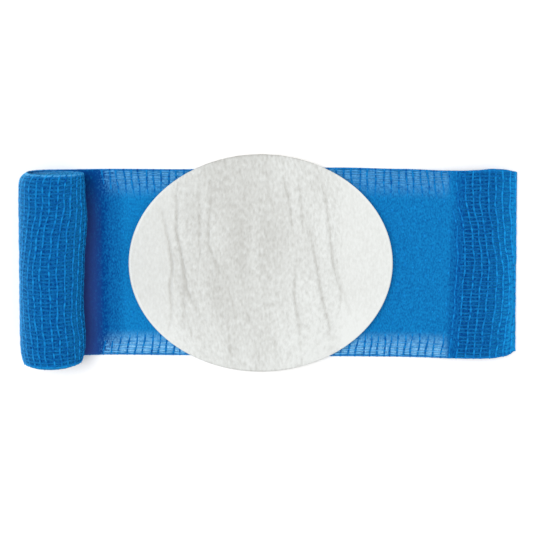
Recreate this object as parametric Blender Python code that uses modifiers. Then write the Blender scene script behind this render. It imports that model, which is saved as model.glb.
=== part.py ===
"""Eye pad bandage: a woven band with a wound end, a turned-under end and an oval pad.

The band lies on the floor along X, with its width along Y and +Z up, in metres.
Its left end is wound upwards into a roll, its right end rises and turns back under
itself, and the pad lies on the flat run between them.
The origin is on the floor, in the middle of the overall length and of the pad's width.
Run with: blender --background --python part.py
"""

import math

import bmesh
import bpy

# Overall and band sizes
OVERALL_LENGTH = 0.1298    # from the roll's outer side to the turned end
BAND_WIDTH = 0.050
BAND_WALL = 0.00045        # thickness of the woven cloth
BAND_OFFSET_Y = -0.00075   # middle of the band, seen from the middle of the pad
PIECE_GAP = 0.0003         # clearance between pieces that touch

# The roll at the left end
ROLL_DIAMETER = 0.0168
ROLL_LAYER_GAP = 0.0003    # air between two turns
ROLL_CORE_RADIUS = 0.0012  # the smallest turn, at the middle of the roll
ROLL_STEPS = 20            # facets in one turn
ROLL_END_SQUEEZE = 0.10    # share of the radius lost at the roll's two ends
ROLL_END_CURVE = 4         # how late the roll rounds in towards its ends
ROLL_BARREL_SHARE = 0.6    # share of the width that keeps the full radius
ROLL_LEAVE_TURNS = 0.3     # turns over which the cloth takes up the roll's end shape

# The turned end at the right
RISE_LENGTH = 0.0250       # along X, from the flat run to the crest
CREST_HEIGHT = 0.0045      # top of the band above the floor at the crest
CREST_SETBACK = 0.0080     # from the turned end back to the crest
TURN_HEIGHT = 0.0017       # height at which the turned end reaches furthest
TURN_UNDER = 0.0042        # from the turned end back to where the tail lies flat
TAIL_LENGTH = 0.0110       # flat stretch of the tail under the crest
TAIL_SLANT = 0.0020        # how far the tail's cut edge leans over half the width

# The pad
PAD_LENGTH = 0.0694
PAD_WIDTH = 0.0578
PAD_CENTRE_X = -0.0024
CORE_THICKNESS = 0.0028
CORE_EDGE_ROUND = 0.0005
FACE_THICKNESS = 0.0011
FACE_EDGE_DROP = 0.00035   # how far the face rounds down at its rim
CREASE_DEPTH = 0.00035     # deepest crease in the pad's face

# Mesh steps
FLAT_STEPS = 26
RISE_STEPS = 12
TURN_STEPS = 8             # facets in each quarter of the turned end
TAIL_STEPS = 5
FACE_COLUMNS = 40
FACE_ROWS = 14
CORE_SIDES = 72

# Rows of vertices across the band, as shares of half its width, near edge to far edge
ACROSS = (-1.0, -0.9, -0.6, 0.0, 0.6, 0.9, 1.0)

# How the band's two edges wander, as shares of its width.
# Positions are shares of the stretch from the roll to the turned end.
EDGE_TABLE = (
    # (position, near edge pulled in, far edge pulled in)
    (0.00, 0.000, 0.000),
    (0.12, 0.004, 0.000),
    (0.30, 0.006, 0.002),
    (0.50, 0.000, -0.002),
    (0.68, -0.004, 0.002),
    (0.82, -0.006, 0.009),
    (0.90, 0.004, 0.003),
    (1.00, 0.032, 0.012),
)

# How far the wound cloth's two edges stand back at each depth in the roll, as shares of its width.
# The first value is the radius as a share of the roll's radius.
ROLL_EDGE_TABLE = (
    # (radius, near edge pulled in, far edge pulled in)
    (0.00, 0.000, 0.004),
    (0.55, 0.002, 0.008),
    (0.75, 0.008, 0.008),
    (0.90, 0.016, 0.006),
    (1.00, 0.025, -0.003),
)

# Creases that run across the pad's face, from its far side to its near side.
# Places are shares of the pad's half length and half width, depth is a share of CREASE_DEPTH.
CREASE_TABLE = (
    # (far x, far y, middle x, near x, near y, half width, depth)
    (-0.75, 0.53, -0.67, -0.70, -0.62, 0.030, 0.8),
    (-0.64, 0.70, -0.60, -0.47, -0.46, 0.030, 1.0),
    (-0.47, 0.83, -0.47, -0.46, 0.30, 0.026, 0.6),
    (-0.37, 0.68, -0.38, -0.31, -0.12, 0.026, 0.6),
    (0.16, 0.83, 0.23, 0.25, 0.30, 0.028, 0.7),
    (0.28, 0.80, 0.31, 0.32, 0.27, 0.026, 0.6),
    (0.44, 0.78, 0.52, 0.61, -0.34, 0.032, 1.0),
    (0.39, 0.30, 0.46, 0.55, -0.68, 0.030, 0.9),
    (0.28, 0.16, 0.27, 0.33, -0.80, 0.028, 0.7),
)


def clear_scene():
    """Remove every object, so that the script can run in an open file."""
    for item in list(bpy.data.objects):
        bpy.data.objects.remove(item, do_unlink=True)


def make_collection(name):
    """Return a new collection linked to the scene."""
    collection = bpy.data.collections.new(name)
    bpy.context.scene.collection.children.link(collection)
    return collection


def make_material(name, colour, roughness):
    """Return a cloth material of one colour."""
    material = bpy.data.materials.new(name)
    material.use_nodes = True
    shader = material.node_tree.nodes["Principled BSDF"]
    shader.inputs["Base Color"].default_value = (*colour, 1.0)
    shader.inputs["Roughness"].default_value = roughness
    shader.inputs["Metallic"].default_value = 0.0
    return material


def add_object(name, mesh, material, collection):
    """Link a new object that shows the mesh in the material."""
    item = bpy.data.objects.new(name, mesh)
    item.data.materials.append(material)
    collection.objects.link(item)
    return item


def smooth(share):
    """Ease from 0 to 1 with level ends."""
    share = min(1.0, max(0.0, share))
    return share * share * (3.0 - 2.0 * share)


def read_table(table, position, column):
    """Read one column of a table at a position, easing between its rows."""
    if position <= table[0][0]:
        return table[0][column]
    for before, after in zip(table, table[1:]):
        if position <= after[0]:
            share = smooth((position - before[0]) / (after[0] - before[0]))
            return before[column] + share * (after[column] - before[column])
    return table[-1][column]


def roll_radius():
    """Radius of the middle of the cloth in the outermost turn, at the floor."""
    pitch = BAND_WALL + ROLL_LAYER_GAP
    return (ROLL_DIAMETER + pitch - BAND_WALL) / 2


def roll_centre():
    """X and Z of the roll's middle."""
    pitch = BAND_WALL + ROLL_LAYER_GAP
    outer = roll_radius() + BAND_WALL / 2
    return -OVERALL_LENGTH / 2 + outer - pitch / 4, outer


def roll_stations():
    """Places along the middle of the wound cloth, from the core out to the floor.

    Each is (x, z, radius, share of the roll's end shape), and the last lies under
    the roll's middle, where the cloth is as wide and flat as the run beyond it.
    """
    pitch = BAND_WALL + ROLL_LAYER_GAP
    centre_x, centre_z = roll_centre()
    outer = roll_radius()
    count = int((outer - ROLL_CORE_RADIUS) / pitch * ROLL_STEPS)
    stations = []
    for step in range(count, -1, -1):
        turn = step / ROLL_STEPS
        radius = outer - pitch * turn
        angle = -math.pi / 2 - 2 * math.pi * turn
        x = centre_x + radius * math.cos(angle)
        z = centre_z + radius * math.sin(angle)
        stations.append((x, z, radius, smooth(turn / ROLL_LEAVE_TURNS)))
    return stations


def run_stations():
    """Places along the middle of the cloth from the roll to the tail's cut end.

    Each is (x, z, share of the way to the turned end, share of the tail's slant).
    """
    half_wall = BAND_WALL / 2
    end_x = OVERALL_LENGTH / 2
    start_x = roll_centre()[0]
    crest_x = end_x - CREST_SETBACK
    rise_x = crest_x - RISE_LENGTH
    crest_z = CREST_HEIGHT - half_wall
    span = end_x - start_x

    places = []
    for step in range(1, FLAT_STEPS + 1):
        x = start_x + (rise_x - start_x) * step / FLAT_STEPS
        places.append((x, half_wall, 0.0))
    for step in range(1, RISE_STEPS + 1):
        share = step / RISE_STEPS
        z = half_wall + (crest_z - half_wall) * smooth(share)
        places.append((rise_x + RISE_LENGTH * share, z, 0.0))

    upper_reach = CREST_SETBACK - half_wall
    upper_height = crest_z - TURN_HEIGHT
    for step in range(1, TURN_STEPS + 1):
        angle = math.pi / 2 * (1 - step / TURN_STEPS)
        x = crest_x + upper_reach * math.cos(angle)
        z = TURN_HEIGHT + upper_height * math.sin(angle)
        places.append((x, z, 0.0))
    lower_reach = TURN_UNDER - half_wall
    lower_height = TURN_HEIGHT - half_wall
    for step in range(1, TURN_STEPS + 1):
        angle = -math.pi / 2 * step / TURN_STEPS
        x = end_x - TURN_UNDER + lower_reach * math.cos(angle)
        z = TURN_HEIGHT + lower_height * math.sin(angle)
        places.append((x, z, 0.0))
    for step in range(1, TAIL_STEPS + 1):
        share = step / TAIL_STEPS
        places.append((end_x - TURN_UNDER - TAIL_LENGTH * share, half_wall, share))
    return [(x, z, (x - start_x) / span, slant) for x, z, slant in places]


def wound_point(station, share):
    """Point of the wound cloth at a station, at a share of half the width."""
    x, z, radius, shaped = station
    centre_x, centre_z = roll_centre()
    column = 1 if share < 0 else 2
    pulled_in = shaped * read_table(ROLL_EDGE_TABLE, radius / roll_radius(), column) * BAND_WIDTH
    # The squeeze draws the two ends of the roll together about its middle.
    end_share = max(0.0, (abs(share) - ROLL_BARREL_SHARE) / (1 - ROLL_BARREL_SHARE))
    squeeze = 1 - shaped * ROLL_END_SQUEEZE * end_share ** ROLL_END_CURVE
    y = BAND_OFFSET_Y + share * (BAND_WIDTH / 2 - pulled_in)
    return (
        centre_x + (x - centre_x) * squeeze,
        y,
        centre_z + (z - centre_z) * squeeze,
    )


def run_point(station, share):
    """Point of the band beyond the roll at a station, at a share of half the width."""
    x, z, position, slant = station
    column = 1 if share < 0 else 2
    pulled_in = read_table(EDGE_TABLE, position, column) * BAND_WIDTH
    y = BAND_OFFSET_Y + share * (BAND_WIDTH / 2 - pulled_in)
    return x + TAIL_SLANT * slant * share, y, z


def make_bandage(collection):
    """The band: a ribbon bent along its stations and given its thickness."""
    wound = roll_stations()
    run = run_stations()
    count = len(wound) + len(run)
    ribbon = bmesh.new()
    bmesh.ops.create_grid(ribbon, x_segments=count - 1, y_segments=len(ACROSS) - 1, size=0.5)
    for vertex in ribbon.verts:
        along = round((vertex.co.x + 0.5) * (count - 1))
        share = ACROSS[round((vertex.co.y + 0.5) * (len(ACROSS) - 1))]
        if along < len(wound):
            vertex.co = wound_point(wound[along], share)
        else:
            vertex.co = run_point(run[along - len(wound)], share)
    mesh = bpy.data.meshes.new("bandage")
    ribbon.to_mesh(mesh)
    ribbon.free()
    mesh.shade_smooth()

    material = make_material("blue woven cloth", (0.010, 0.150, 0.440), 0.85)
    band = add_object("bandage", mesh, material, collection)
    wall = band.modifiers.new("Wall", "SOLIDIFY")
    wall.thickness = BAND_WALL
    wall.offset = 0.0
    wall.use_even_offset = True
    return band


def make_pad_core(collection):
    """The absorbent layer: a flat oval with softly rounded rims."""
    bottom = BAND_WALL + PIECE_GAP
    bpy.ops.mesh.primitive_cylinder_add(vertices=CORE_SIDES, radius=0.5, depth=1.0)
    core = bpy.context.active_object
    core.name = "pad_core"
    core.data.name = "pad_core"
    for vertex in core.data.vertices:
        vertex.co.x = PAD_CENTRE_X + vertex.co.x * PAD_LENGTH
        vertex.co.y = vertex.co.y * PAD_WIDTH
        vertex.co.z = bottom + (vertex.co.z + 0.5) * CORE_THICKNESS
    for owner in list(core.users_collection):
        owner.objects.unlink(core)
    collection.objects.link(core)
    core.data.materials.append(make_material("cream wadding", (0.800, 0.780, 0.720), 0.95))
    core.data.shade_smooth()
    rim = core.modifiers.new("Rim", "BEVEL")
    rim.width = CORE_EDGE_ROUND
    rim.segments = 2
    rim.limit_method = "ANGLE"
    return core


def oval_place(across, up):
    """Map a square's coordinates, each from -1 to 1, onto the unit disc."""
    return (
        across * math.sqrt(1 - up * up / 2),
        up * math.sqrt(1 - across * across / 2),
    )


def crease_depth(x, y):
    """Depth of the creases at a place given in shares of the pad's half sizes."""
    depth = 0.0
    for far_x, far_y, middle_x, near_x, near_y, half_width, share in CREASE_TABLE:
        along = (far_y - y) / (far_y - near_y)
        if not 0.0 < along < 1.0:
            continue
        bow = middle_x - (far_x + near_x) / 2
        line = far_x + (near_x - far_x) * along + bow * math.sin(math.pi * along)
        fade = math.sin(math.pi * along) ** 0.5
        depth = max(depth, share * fade * math.exp(-((x - line) / half_width) ** 2))
    return depth * CREASE_DEPTH


def make_pad_face(collection):
    """The creased cover: an oval sheet whose upper side carries the creases."""
    bottom = BAND_WALL + PIECE_GAP + CORE_THICKNESS + PIECE_GAP
    sheet = bmesh.new()
    bmesh.ops.create_grid(sheet, x_segments=FACE_COLUMNS, y_segments=FACE_ROWS, size=1.0)
    for vertex in sheet.verts:
        x, y = oval_place(vertex.co.x, vertex.co.y)
        vertex.co.x = PAD_CENTRE_X + x * PAD_LENGTH / 2
        vertex.co.y = y * PAD_WIDTH / 2
        vertex.co.z = bottom
    made = bmesh.ops.extrude_face_region(sheet, geom=sheet.faces[:])
    for vertex in (item for item in made["geom"] if isinstance(item, bmesh.types.BMVert)):
        x = (vertex.co.x - PAD_CENTRE_X) / (PAD_LENGTH / 2)
        y = vertex.co.y / (PAD_WIDTH / 2)
        rim = min(1.0, math.hypot(x, y)) ** 12
        vertex.co.z = bottom + FACE_THICKNESS - FACE_EDGE_DROP * rim - crease_depth(x, y)
    bmesh.ops.recalc_face_normals(sheet, faces=sheet.faces[:])
    mesh = bpy.data.meshes.new("pad_face")
    sheet.to_mesh(mesh)
    sheet.free()
    mesh.shade_smooth()
    mesh.set_sharp_from_angle(angle=math.radians(50))
    material = make_material("white crepe", (0.780, 0.790, 0.770), 0.9)
    return add_object("pad_face", mesh, material, collection)


def main():
    """Build the bandage and its pad."""
    clear_scene()
    collection = make_collection("eye_pad_bandage")
    make_bandage(collection)
    make_pad_core(collection)
    make_pad_face(collection)


main()
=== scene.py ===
"""Finish an eye pad bandage: a woven blue band with a wound end and an oval white pad.

The band is made flat, thread by thread, as on a loom, and then bent along its path:
wound into a roll at the left, flat under the pad, turned under at the right.
"""

import logging
import math
from dataclasses import dataclass, field
from enum import Enum

import bmesh
import bpy
import numpy as np
from mathutils import Matrix, Vector, noise


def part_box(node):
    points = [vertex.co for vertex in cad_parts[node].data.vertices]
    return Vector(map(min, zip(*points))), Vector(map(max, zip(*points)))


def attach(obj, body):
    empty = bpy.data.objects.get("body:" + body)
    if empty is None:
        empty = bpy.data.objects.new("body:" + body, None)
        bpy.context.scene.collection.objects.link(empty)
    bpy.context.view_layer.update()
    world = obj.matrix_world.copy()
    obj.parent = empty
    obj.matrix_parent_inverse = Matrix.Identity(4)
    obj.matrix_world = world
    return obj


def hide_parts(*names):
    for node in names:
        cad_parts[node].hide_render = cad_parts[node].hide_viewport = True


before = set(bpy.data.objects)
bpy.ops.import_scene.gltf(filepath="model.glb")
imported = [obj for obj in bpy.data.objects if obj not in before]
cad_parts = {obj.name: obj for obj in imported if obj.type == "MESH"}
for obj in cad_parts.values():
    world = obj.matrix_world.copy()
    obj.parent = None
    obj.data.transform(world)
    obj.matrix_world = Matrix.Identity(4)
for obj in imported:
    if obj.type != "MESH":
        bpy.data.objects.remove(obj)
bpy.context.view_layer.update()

BODY = "root"
MM = 0.001
LOG = logging.getLogger("eye_pad_bandage")


class Stretch(Enum):
    """The two stretches that the band's weave is made in, by their pieces' names."""

    COIL = "band_coil"
    OUTER = "band_weave"


def eased(table: tuple, at: np.ndarray, column: int) -> np.ndarray:
    """Read one column of a table, easing between its rows.

    Args:
        table: rows whose first value is the position, in rising order.
        at: positions to read.
        column: which value of the rows to read.

    Returns:
        The eased values.
    """
    places = np.array([row[0] for row in table])
    values = np.array([row[column] for row in table])
    at = np.clip(at, places[0], places[-1])
    after = np.clip(np.searchsorted(places, at), 1, len(places) - 1)
    share = (at - places[after - 1]) / (places[after] - places[after - 1])
    share = share * share * (3.0 - 2.0 * share)
    return values[after - 1] + share * (values[after] - values[after - 1])


def smooth(share: np.ndarray) -> np.ndarray:
    """Ease from 0 to 1 with level ends.

    Args:
        share: values to ease, held between 0 and 1.

    Returns:
        The eased values.
    """
    share = np.clip(share, 0.0, 1.0)
    return share * share * (3.0 - 2.0 * share)


def cloudy(x: np.ndarray, y: np.ndarray, seed: float) -> np.ndarray:
    """Return soft noise from -1 to 1 at places on a plane.

    Args:
        x: first coordinate, in cells of the noise.
        y: second coordinate, in cells of the noise.
        seed: picks another pattern.

    Returns:
        One value for each place.
    """
    return np.array([noise.noise(Vector((a, b, seed))) for a, b in zip(x, y)])


def layered(table: tuple, x: np.ndarray, y: np.ndarray) -> np.ndarray:
    """Add up layers of soft noise at places on a plane.

    Args:
        table: rows of (height, cell in the first direction, cell in the second, seed).
        x: first coordinate.
        y: second coordinate.

    Returns:
        The sum at each place.
    """
    return sum(height * cloudy(x / wide, y / deep, seed) for height, wide, deep, seed in table)


def waves(table: tuple, first: np.ndarray, second: np.ndarray) -> np.ndarray:
    """Add up sine waves over two coordinates.

    Args:
        table: rows of (height, turn for each unit of the first, of the second), in radians.
        first: the first coordinate.
        second: the second coordinate.

    Returns:
        The sum at each place.
    """
    return sum(height * np.sin(first * one + second * two) for height, one, two in table)


def get_points(mesh: bpy.types.Mesh) -> np.ndarray:
    """Read a mesh's points.

    Args:
        mesh: the mesh.

    Returns:
        Rows of x, y and z.
    """
    flat = np.empty(len(mesh.vertices) * 3, dtype=np.float64)
    mesh.vertices.foreach_get("co", flat)
    return flat.reshape(-1, 3)


def set_points(mesh: bpy.types.Mesh, points: np.ndarray) -> None:
    """Move a mesh's points.

    Args:
        mesh: the mesh.
        points: one row of x, y and z for each point.
    """
    mesh.vertices.foreach_set("co", np.ascontiguousarray(points, dtype=np.float32).ravel())
    mesh.update()


def store(mesh: bpy.types.Mesh, name: str, values: np.ndarray) -> None:
    """Keep a number, or three, for each point of a mesh, for a material to read.

    Args:
        mesh: the mesh.
        name: the attribute's name.
        values: one number for each point, or one row of three.
    """
    kind, slot = ("FLOAT", "value") if values.ndim == 1 else ("FLOAT_VECTOR", "vector")
    layer = mesh.attributes.new(name, kind, "POINT")
    layer.data.foreach_set(slot, np.ascontiguousarray(values, dtype=np.float32).ravel())


def add_piece(name: str, mesh: bpy.types.Mesh, material: bpy.types.Material) -> bpy.types.Object:
    """Show a mesh as a piece of the object.

    Args:
        name: the piece's name.
        mesh: its mesh, with its place in its points.
        material: its finish.

    Returns:
        The piece, riding on the body.
    """
    mesh.name = name
    mesh.materials.append(material)
    mesh.shade_smooth()
    piece = bpy.data.objects.new(name, mesh)
    bpy.context.scene.collection.objects.link(piece)
    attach(piece, BODY)
    LOG.info("%s: %d faces", name, len(mesh.polygons))
    return piece


def mesh_of(shape: bmesh.types.BMesh) -> bpy.types.Mesh:
    """Turn a finished bmesh into a mesh and free it.

    Args:
        shape: the bmesh.

    Returns:
        The mesh.
    """
    mesh = bpy.data.meshes.new("shape")
    shape.to_mesh(mesh)
    shape.free()
    return mesh


def edges_along(shape: bmesh.types.BMesh) -> list[bmesh.types.BMEdge]:
    """Find the edges that run along an upright cylinder one unit long.

    Args:
        shape: the cylinder.

    Returns:
        Its long edges.
    """
    return [e for e in shape.edges if abs(e.verts[0].co.z - e.verts[1].co.z) > 0.5]


def points_made(result: dict) -> list[bmesh.types.BMVert]:
    """Find the points that a bmesh operator made.

    Args:
        result: what the operator gave back.

    Returns:
        Its new points.
    """
    return [item for item in result["geom"] if isinstance(item, bmesh.types.BMVert)]


@dataclass(frozen=True)
class NodeSocket:
    """One input or output of a shader node group."""

    name: str
    kind: str
    value: float | tuple | None = None


class NodeGroup:
    """A shader node group with named inputs and outputs."""

    def __init__(self, name: str, inputs: list[NodeSocket], outputs: list[NodeSocket]) -> None:
        """Start a group.

        Args:
            name: the group's name.
            inputs: its inputs, with their starting values.
            outputs: its outputs.
        """
        self.tree = bpy.data.node_groups.new(name, "ShaderNodeTree")
        for socket in inputs:
            made = self.tree.interface.new_socket(
                name=socket.name, in_out="INPUT", socket_type=socket.kind
            )
            if socket.value is not None:
                made.default_value = socket.value
        for socket in outputs:
            self.tree.interface.new_socket(
                name=socket.name, in_out="OUTPUT", socket_type=socket.kind
            )
        self.inside = self.tree.nodes.new("NodeGroupInput")
        self.outside = self.tree.nodes.new("NodeGroupOutput")

    def add(self, kind: str, **settings: object) -> bpy.types.Node:
        """Add a node.

        Args:
            kind: the node's type.
            settings: properties to set on it.

        Returns:
            The node.
        """
        node = self.tree.nodes.new(kind)
        for key, value in settings.items():
            setattr(node, key, value)
        return node

    def join(self, out: bpy.types.NodeSocket, into: bpy.types.NodeSocket) -> None:
        """Link an output to an input.

        Args:
            out: the output.
            into: the input.
        """
        self.tree.links.new(out, into)

    def math(self, operation: str, first: object, second: object = None) -> bpy.types.NodeSocket:
        """Add a maths node.

        Args:
            operation: what it does.
            first: a socket or a number.
            second: a socket or a number.

        Returns:
            Its output.
        """
        node = self.add("ShaderNodeMath", operation=operation)
        for place, value in enumerate((first, second)):
            if isinstance(value, bpy.types.NodeSocket):
                self.join(value, node.inputs[place])
            elif value is not None:
                node.inputs[place].default_value = value
        return node.outputs[0]

    def cell_noise(self, detail: float, roughness: float) -> bpy.types.NodeSocket:
        """Add noise at the group's place, stretched and in cells as its inputs say.

        Args:
            detail: how many finer layers the noise has.
            roughness: how strong the finer layers are.

        Returns:
            The noise, from 0 to 1.
        """
        stretch = self.add("ShaderNodeVectorMath", operation="MULTIPLY")
        self.join(self.inside.outputs["Place"], stretch.inputs[0])
        self.join(self.inside.outputs["Stretch"], stretch.inputs[1])
        cells = self.add("ShaderNodeTexNoise")
        cells.inputs["Detail"].default_value = detail
        cells.inputs["Roughness"].default_value = roughness
        self.join(stretch.outputs[0], cells.inputs["Vector"])
        self.join(self.inside.outputs["Cells per metre"], cells.inputs["Scale"])
        return cells.outputs["Fac"]


SCALAR = "NodeSocketFloat"
COLOUR = "NodeSocketColor"
VECTOR = "NodeSocketVector"
CELL_INPUTS = [
    NodeSocket("Place", VECTOR),
    NodeSocket("Stretch", VECTOR, (1.0, 1.0, 1.0)),
    NodeSocket("Cells per metre", SCALAR, 1000.0),
]

# A mix node names its sockets alike for each kind of value, so a colour's go by number.
MIX_FIRST, MIX_SECOND, MIX_RESULT = 6, 7, 2


def make_mottle_group() -> bpy.types.ShaderNodeTree:
    """Build the group that varies a dyed or bleached cloth's colour in soft clouds.

    Returns:
        A group that takes a place, a stretch, two colours, a cell size and a tone from
        0, deep, to 1, pale, and gives a colour and its mask.
    """
    group = NodeGroup(
        "cloth_mottle",
        [
            *CELL_INPUTS,
            NodeSocket("Deep", COLOUR, (0.0, 0.1, 0.3, 1.0)),
            NodeSocket("Pale", COLOUR, (0.0, 0.2, 0.5, 1.0)),
            NodeSocket("Tone", SCALAR, 0.5),
            NodeSocket("Contrast", SCALAR, 2.0),
        ],
        [NodeSocket("Color", COLOUR), NodeSocket("Mask", SCALAR)],
    )
    away = group.math("SUBTRACT", group.cell_noise(detail=3.0, roughness=0.5), 0.5)
    spread = group.math("MULTIPLY", away, group.inside.outputs["Contrast"])
    lifted = group.math("ADD", spread, group.inside.outputs["Tone"])
    held = group.add("ShaderNodeClamp")
    group.join(lifted, held.inputs["Value"])
    mix = group.add("ShaderNodeMix", data_type="RGBA")
    group.join(held.outputs[0], mix.inputs["Factor"])
    group.join(group.inside.outputs["Deep"], mix.inputs[MIX_FIRST])
    group.join(group.inside.outputs["Pale"], mix.inputs[MIX_SECOND])
    group.join(mix.outputs[MIX_RESULT], group.outside.inputs["Color"])
    group.join(held.outputs[0], group.outside.inputs["Mask"])
    return group.tree


def make_fibre_group() -> bpy.types.ShaderNodeTree:
    """Build the group that gives spun or felted fibres a fine relief.

    Returns:
        A group that takes a place and a stretch, and gives a height from 0 to 1.
    """
    group = NodeGroup("fibre_relief", CELL_INPUTS, [NodeSocket("Height", SCALAR)])
    fibres = group.cell_noise(detail=4.0, roughness=0.65)
    group.join(fibres, group.outside.inputs["Height"])
    return group.tree


class GroupShelf:
    """The shader node groups, each built once."""

    def __init__(self) -> None:
        """Build the groups."""
        self.mottle = make_mottle_group()
        self.fibre = make_fibre_group()


@dataclass(frozen=True)
class ClothFinish:
    """A matte cloth: its two colours, and how coarse its clouds and fibres are.

    Each piece's tone attribute says where it stands between the two colours.
    """

    name: str
    deep: tuple[float, float, float]
    pale: tuple[float, float, float]
    cells_per_metre: float
    contrast: float
    fibre_stretch: tuple[float, float, float]
    fibre_cells: float
    relief: float
    roughness: float = 0.9
    gloss: float = 0.04
    sheen: float = 0.0
    sheen_roughness: float = 0.4
    sheen_tint: tuple[float, float, float] = (1.0, 1.0, 1.0)
    attribute: str = ""
    # Pale colour of painted light: the white floor seen through the open weave along the flat run's
    # edges, and a painted highlight on the roll's sides.
    painted_light: tuple[float, float, float] | None = None
    # The colour of a painted shadow, mixed in where the cloth's attribute of the same name says.
    painted_shadow: tuple[float, float, float] | None = None
    grain: str = ""

    def make(self, shelf: GroupShelf) -> bpy.types.Material:
        """Build the material.

        Args:
            shelf: the shared node groups.

        Returns:
            The material.
        """
        material = bpy.data.materials.new(self.name)
        material.use_nodes = True
        tree = material.node_tree
        shader = tree.nodes["Principled BSDF"]
        shader.inputs["Roughness"].default_value = self.roughness
        shader.inputs["Specular IOR Level"].default_value = self.gloss
        shader.inputs["Sheen Weight"].default_value = self.sheen
        shader.inputs["Sheen Roughness"].default_value = self.sheen_roughness
        shader.inputs["Sheen Tint"].default_value = (*self.sheen_tint, 1.0)
        if self.attribute:
            place = self._read(tree, self.attribute).outputs["Vector"]
        else:
            place = tree.nodes.new("ShaderNodeTexCoord").outputs["Object"]

        mottle = self._add_group(tree, shelf.mottle, place, self.cells_per_metre)
        mottle.inputs["Deep"].default_value = (*self.deep, 1.0)
        mottle.inputs["Pale"].default_value = (*self.pale, 1.0)
        mottle.inputs["Contrast"].default_value = self.contrast
        tree.links.new(self._read(tree, "tone").outputs["Fac"], mottle.inputs["Tone"])
        colour = mottle.outputs["Color"]
        # Mix in the pale painted light colour and the painted shadow colour, where the cloth has
        # them.
        if self.painted_light:
            colour = self._mix_in(tree, colour, self.painted_light, "painted_light", mottle.outputs["Mask"])
        if self.painted_shadow:
            colour = self._mix_in(tree, colour, self.painted_shadow, "painted_shadow")
        tree.links.new(colour, shader.inputs["Base Color"])

        fibre = self._add_group(tree, shelf.fibre, place, self.fibre_cells)
        bump = tree.nodes.new("ShaderNodeBump")
        bump.inputs["Strength"].default_value = 1.0
        bump.inputs["Distance"].default_value = self.relief
        tree.links.new(fibre.outputs["Height"], bump.inputs["Height"])
        tree.links.new(bump.outputs["Normal"], shader.inputs["Normal"])
        if self.grain:
            tree.links.new(self._read(tree, self.grain).outputs["Fac"], bump.inputs["Strength"])
        return material

    def _read(self, tree: bpy.types.NodeTree, attribute: str) -> bpy.types.Node:
        """Add a node that reads one of the cloth's attributes.

        Args:
            tree: the material's nodes.
            attribute: the attribute's name.

        Returns:
            The node.
        """
        source = tree.nodes.new("ShaderNodeAttribute")
        source.attribute_name = attribute
        return source

    def _add_group(
        self,
        tree: bpy.types.NodeTree,
        group: bpy.types.ShaderNodeTree,
        place: bpy.types.NodeSocket,
        cells: float,
    ) -> bpy.types.Node:
        """Put a shared group in the material, with this cloth's stretch.

        Args:
            tree: the material's nodes.
            group: the shared group.
            place: the place that its pattern follows.
            cells: its cells for each metre.

        Returns:
            The group's node.
        """
        node = tree.nodes.new("ShaderNodeGroup")
        node.node_tree = group
        node.inputs["Stretch"].default_value = self.fibre_stretch
        node.inputs["Cells per metre"].default_value = cells
        tree.links.new(place, node.inputs["Place"])
        return node

    def _mix_in(
        self,
        tree: bpy.types.NodeTree,
        colour: bpy.types.NodeSocket,
        other: tuple[float, float, float],
        attribute: str,
        mask: bpy.types.NodeSocket | None = None,
    ) -> bpy.types.NodeSocket:
        """Turn the cloth to another colour where one of its attributes says so.

        Args:
            tree: the material's nodes.
            colour: the colour so far.
            other: the colour to turn to.
            attribute: the attribute that gives the share, from 0 to 1.
            mask: where it shows most, or nothing for everywhere.

        Returns:
            The colour to use.
        """
        share = self._read(tree, attribute).outputs["Fac"]
        if mask:
            patches = tree.nodes.new("ShaderNodeMath")
            patches.operation = "MULTIPLY"
            tree.links.new(share, patches.inputs[0])
            tree.links.new(mask, patches.inputs[1])
            share = patches.outputs[0]
        mix = tree.nodes.new("ShaderNodeMix")
        mix.data_type = "RGBA"
        mix.inputs[MIX_SECOND].default_value = (*other, 1.0)
        tree.links.new(share, mix.inputs["Factor"])
        tree.links.new(colour, mix.inputs[MIX_FIRST])
        return mix.outputs[MIX_RESULT]


THREAD_BLUE = ClothFinish(
    name="blue_thread",
    deep=(0.0012, 0.064, 0.300),
    pale=(0.0090, 0.300, 0.730),
    cells_per_metre=1300.0,
    contrast=1.0,
    fibre_stretch=(1.0, 1.0, 1.0),
    fibre_cells=5200.0,
    relief=0.00008,
    sheen=0.70,
    sheen_tint=(0.030, 0.480, 0.880),
    # Pale painted light colour for the open weave's edges and the roll's sides.
    painted_light=(0.1500, 0.460, 0.820),
    attribute="thread",
)

NAP_BLUE = ClothFinish(
    name="blue_nap",
    deep=(0.0010, 0.052, 0.240),
    pale=(0.0075, 0.265, 0.630),
    sheen=0.12,
    sheen_tint=(0.030, 0.420, 0.800),
    # Pale painted light colour for the open weave's edges and the roll's sides.
    painted_light=(0.2400, 0.560, 0.860),
    # Dark purple blue painted shadow for the valley beside the roll.
    painted_shadow=(0.0450, 0.085, 0.330),
    cells_per_metre=2600.0,
    contrast=1.3,
    fibre_stretch=(1.0, 0.60, 1.0),
    fibre_cells=5000.0,
    relief=0.00012,
)

COVER_WHITE = ClothFinish(
    name="white_crepe",
    deep=(0.500, 0.500, 0.476),
    pale=(0.720, 0.738, 0.722),
    cells_per_metre=1900.0,
    contrast=0.8,
    fibre_stretch=(1.0, 0.50, 1.0),
    fibre_cells=2300.0,
    relief=0.00022,
    grain="grain",
)

WADDING_CREAM = ClothFinish(
    name="cream_wadding",
    deep=(0.640, 0.610, 0.540),
    pale=(0.760, 0.740, 0.680),
    cells_per_metre=700.0,
    contrast=2.0,
    fibre_stretch=(0.4, 0.4, 1.6),
    fibre_cells=3000.0,
    relief=0.00020,
)


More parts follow.
